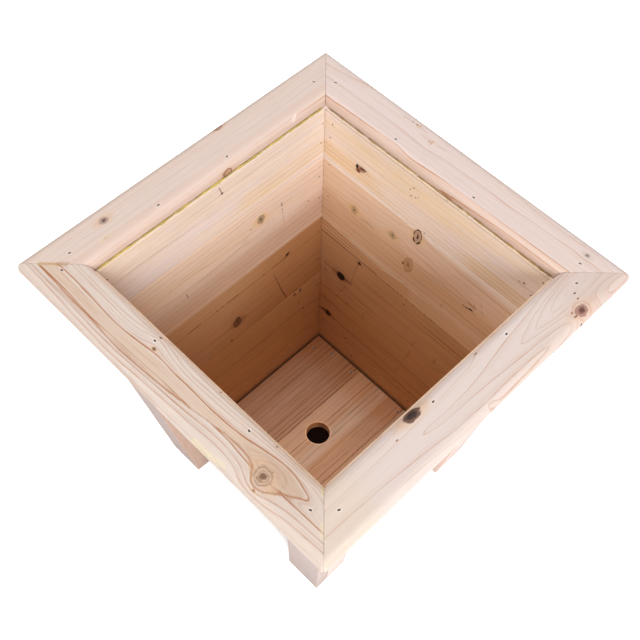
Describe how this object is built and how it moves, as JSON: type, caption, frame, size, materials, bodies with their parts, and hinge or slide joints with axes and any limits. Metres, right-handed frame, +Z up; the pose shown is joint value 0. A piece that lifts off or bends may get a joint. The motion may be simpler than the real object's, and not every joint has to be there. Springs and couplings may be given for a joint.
{
  "type": "planter box",
  "caption": "Free-standing tapered square planter box of bare softwood boards, with a mitred overhanging rim, corner leg boards and a dropped-in floor with a drain hole.",
  "frame": {"origin": "on the ground, under the centre of the box", "axes": "+Z up through the opening, -Y out of the front side, +X to the right of the front side"},
  "size_m": [0.4, 0.4, 0.386],
  "materials": {
    "rim_wood": "planed, unfinished pale fir",
    "wall_wood": "planed, unfinished fir",
    "leg_wood": "planed, unfinished fir",
    "floor_wood": "planed, unfinished fir",
    "cleat_wood": "sawn, unfinished fir",
    "brad_steel": "dull bright steel wire"
  },
  "bodies": {
    "root": {"front_rim_board": "rim_wood", "right_rim_board": "rim_wood", "back_rim_board": "rim_wood", "left_rim_board": "rim_wood", "front_wall_board_1": "wall_wood", "front_wall_board_2": "wall_wood", "front_wall_board_3": "wall_wood", "front_wall_board_4": "wall_wood", "front_wall_board_5": "wall_wood", "right_wall_board_1": "wall_wood", "right_wall_board_2": "wall_wood", "right_wall_board_3": "wall_wood", "right_wall_board_4": "wall_wood", "right_wall_board_5": "wall_wood", "back_wall_board_1": "wall_wood", "back_wall_board_2": "wall_wood", "back_wall_board_3": "wall_wood", "back_wall_board_4": "wall_wood", "back_wall_board_5": "wall_wood", "left_wall_board_1": "wall_wood", "left_wall_board_2": "wall_wood", "left_wall_board_3": "wall_wood", "left_wall_board_4": "wall_wood", "left_wall_board_5": "wall_wood", "front_left_leg_face_board": "leg_wood", "front_left_leg_side_board": "leg_wood", "front_right_leg_face_board": "leg_wood", "front_right_leg_side_board": "leg_wood", "back_right_leg_face_board": "leg_wood", "back_right_leg_side_board": "leg_wood", "back_left_leg_face_board": "leg_wood", "back_left_leg_side_board": "leg_wood", "floor_board_left": "floor_wood", "floor_board_middle": "floor_wood", "floor_board_right": "floor_wood", "front_floor_cleat": "cleat_wood", "back_floor_cleat": "cleat_wood", "front_rim_brad_1": "brad_steel", "front_rim_brad_2": "brad_steel", "front_rim_brad_3": "brad_steel", "front_rim_brad_4": "brad_steel", "right_rim_brad_1": "brad_steel", "right_rim_brad_2": "brad_steel", "right_rim_brad_3": "brad_steel", "right_rim_brad_4": "brad_steel", "back_rim_brad_1": "brad_steel", "back_rim_brad_2": "brad_steel", "back_rim_brad_3": "brad_steel", "back_rim_brad_4": "brad_steel", "left_rim_brad_1": "brad_steel", "left_rim_brad_2": "brad_steel", "left_rim_brad_3": "brad_steel", "left_rim_brad_4": "brad_steel", "back_floor_brad_1": "brad_steel", "back_floor_brad_2": "brad_steel", "back_floor_brad_3": "brad_steel", "back_floor_brad_4": "brad_steel", "front_floor_brad_1": "brad_steel", "front_floor_brad_2": "brad_steel", "front_floor_brad_3": "brad_steel"}
  },
  "joints": []
}
